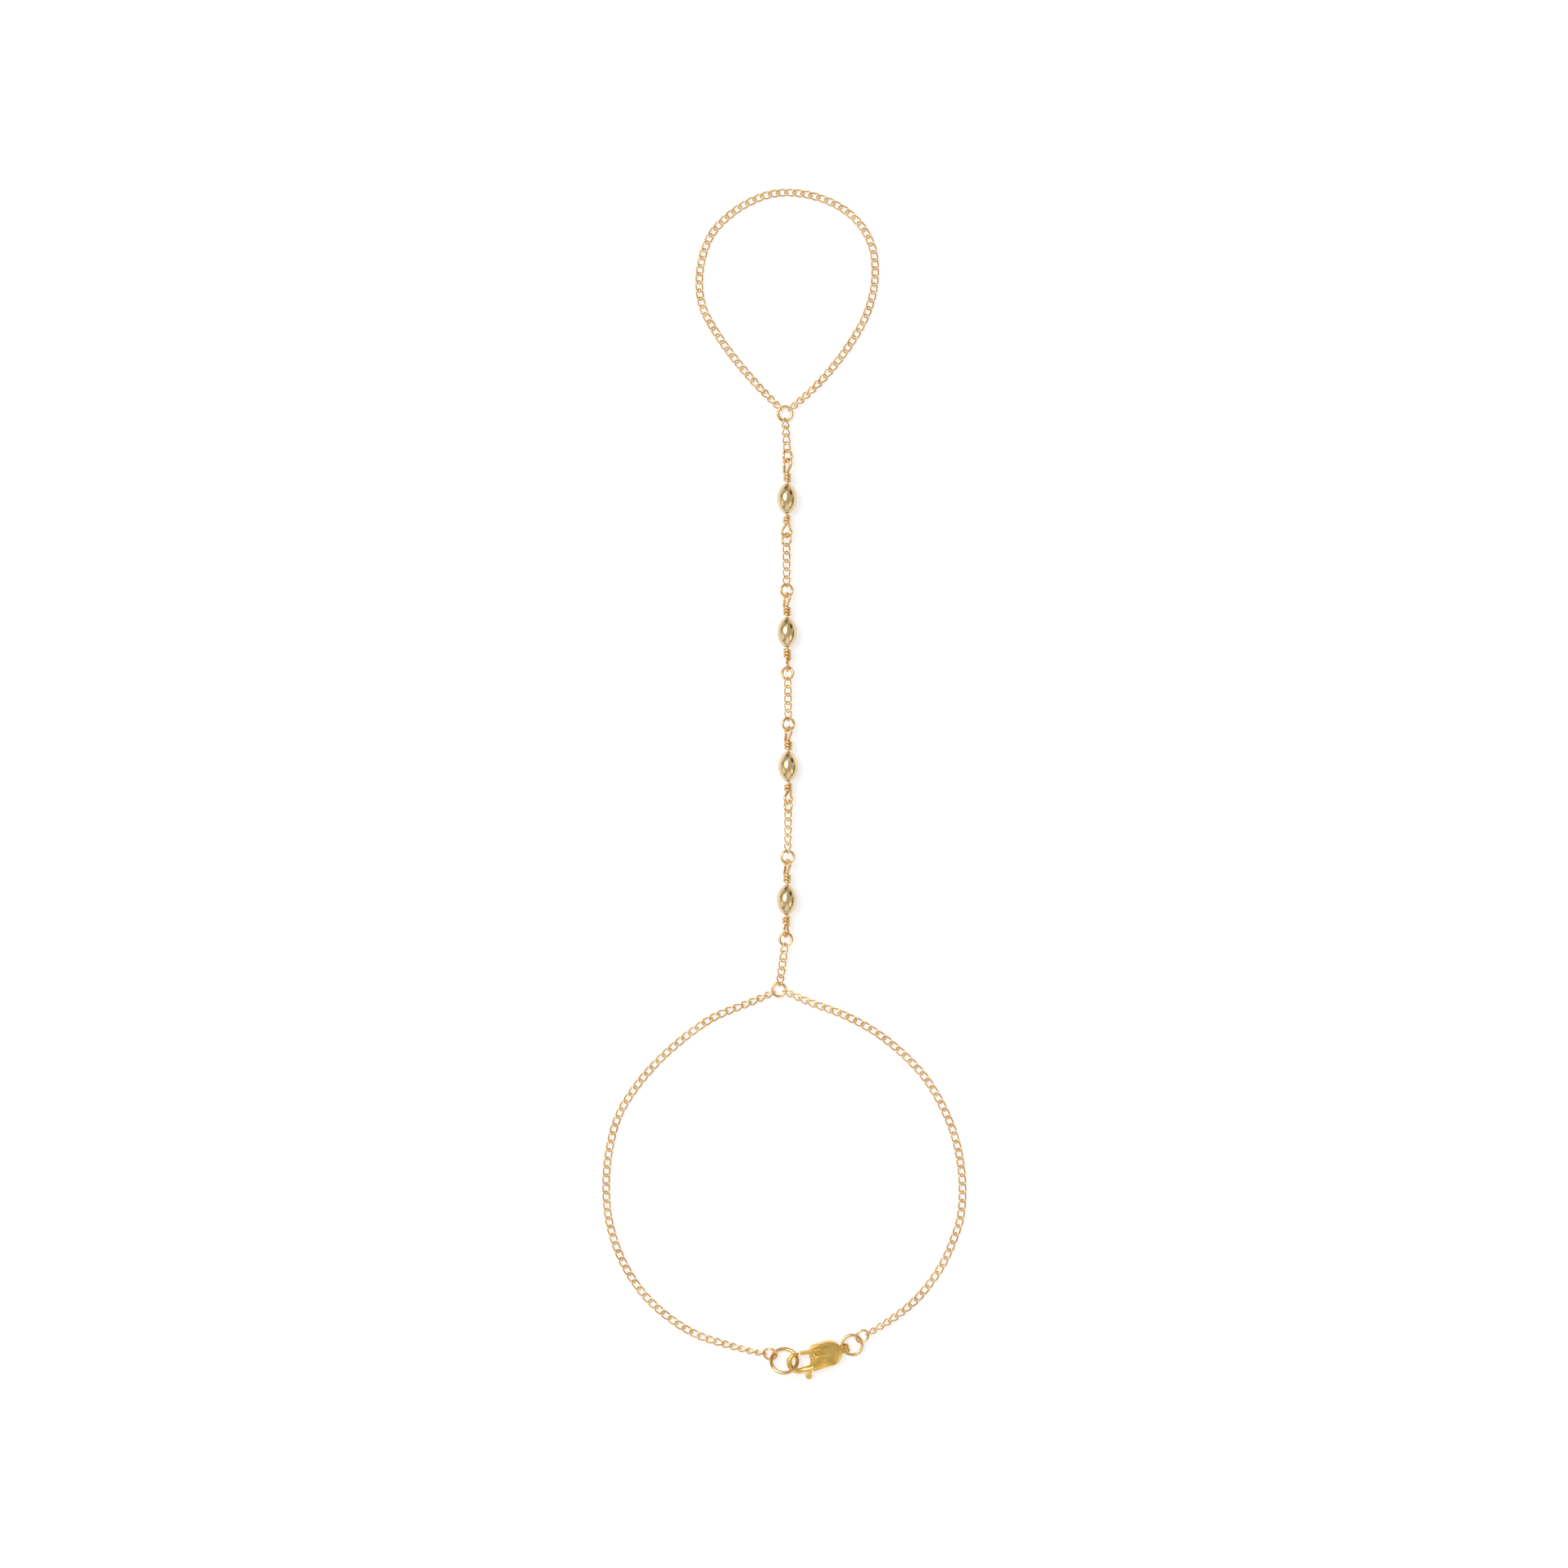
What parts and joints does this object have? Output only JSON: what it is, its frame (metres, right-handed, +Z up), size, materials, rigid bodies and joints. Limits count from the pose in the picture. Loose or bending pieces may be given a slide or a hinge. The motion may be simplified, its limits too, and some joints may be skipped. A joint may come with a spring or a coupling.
{
  "type": "hand chain bracelet",
  "caption": "Gold hand chain: a wrist loop with a lobster clasp, a beaded run along the back of the hand and a finger loop, all of fine flat curb chain.",
  "frame": {"origin": "middle of the laid-out object's extent, on the surface that it lies on", "axes": "+X across the hand, +Y from the wrist loop to the finger loop, +Z up from the surface"},
  "size_m": [0.0561, 0.1832, 0.0031],
  "materials": {
    "chain_gold": "polished gold plate",
    "ring_gold": "polished pale gold plate",
    "bead_gold": "mirror-polished pale gold",
    "clasp_gold": "satin gold plate",
    "lever_gold": "rough satin gold plate"
  },
  "bodies": {
    "bracelet": {"finger_chain": "chain_gold", "finger_ring": "ring_gold", "hand_chain_1": "chain_gold", "hand_chain_2": "chain_gold", "hand_chain_3": "chain_gold", "hand_chain_4": "chain_gold", "hand_chain_5": "chain_gold", "bead_ring_1a": "ring_gold", "bead_ring_1b": "ring_gold", "bead_ring_2a": "ring_gold", "bead_ring_2b": "ring_gold", "bead_ring_3a": "ring_gold", "bead_ring_3b": "ring_gold", "bead_ring_4a": "ring_gold", "bead_ring_4b": "ring_gold", "bead_1": "bead_gold", "bead_2": "bead_gold", "bead_3": "bead_gold", "bead_4": "bead_gold", "bead_wire_1": "ring_gold", "bead_wire_2": "ring_gold", "bead_wire_3": "ring_gold", "bead_wire_4": "ring_gold", "wrist_ring": "ring_gold", "wrist_chain_left": "chain_gold", "wrist_chain_right": "chain_gold", "end_ring_left": "ring_gold", "end_ring_right": "ring_gold", "catch_ring": "ring_gold", "clasp_ring": "ring_gold", "clasp_body": "clasp_gold", "clasp_pin": "clasp_gold"},
    "clasp_lever": {"clasp_lever": "lever_gold"}
  },
  "joints": [
    {"name": "clasp_lever_hinge", "type": "hinge", "parent": "bracelet", "child": "clasp_lever", "pos_m": [0.00466, -0.08798, 0.00121], "axis": [0.0929, -0.0815, 0.9923], "range_deg": [0, 30], "stiffness_Nm_per_rad": 0.002, "springref_deg": -20.05}
  ]
}
